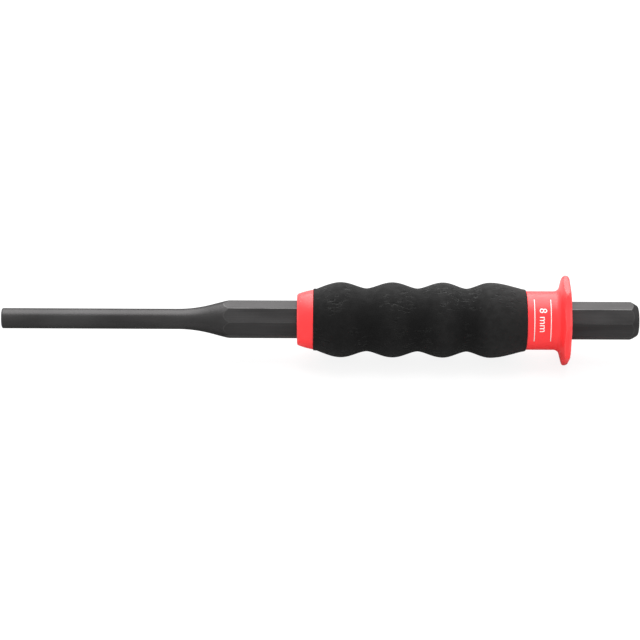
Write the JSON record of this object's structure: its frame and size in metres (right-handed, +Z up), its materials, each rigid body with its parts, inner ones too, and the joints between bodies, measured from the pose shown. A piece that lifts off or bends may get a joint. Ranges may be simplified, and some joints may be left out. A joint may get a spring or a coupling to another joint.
{
  "type": "pin punch",
  "caption": "Steel pin punch with a long round pin, an octagonal bar and a push-on hand guard that has a ribbed foam grip and an octagonal flange.",
  "frame": {"origin": "on the surface that the flange's lower flat rests on, below the middle of the tool's length", "axes": "+X along the tool's axis from the tip of the pin towards the striking face, +Z up from the flange's lower flat, +Y across the tool"},
  "size_m": [0.25, 0.0334, 0.0334],
  "materials": {
    "steel": "satin",
    "guard_plastic": "satin",
    "foam": "matte"
  },
  "bodies": {
    "punch": {"punch_pin": "steel", "punch_bar": "steel"},
    "guard": {"guard_sleeve": "guard_plastic", "front_collar": "guard_plastic", "foam_grip": "foam"}
  },
  "joints": [
    {"name": "guard_slide", "type": "slide", "parent": "punch", "child": "guard", "axis": [1, 0, 0], "range_m": [-0.027, 0.027]}
  ]
}
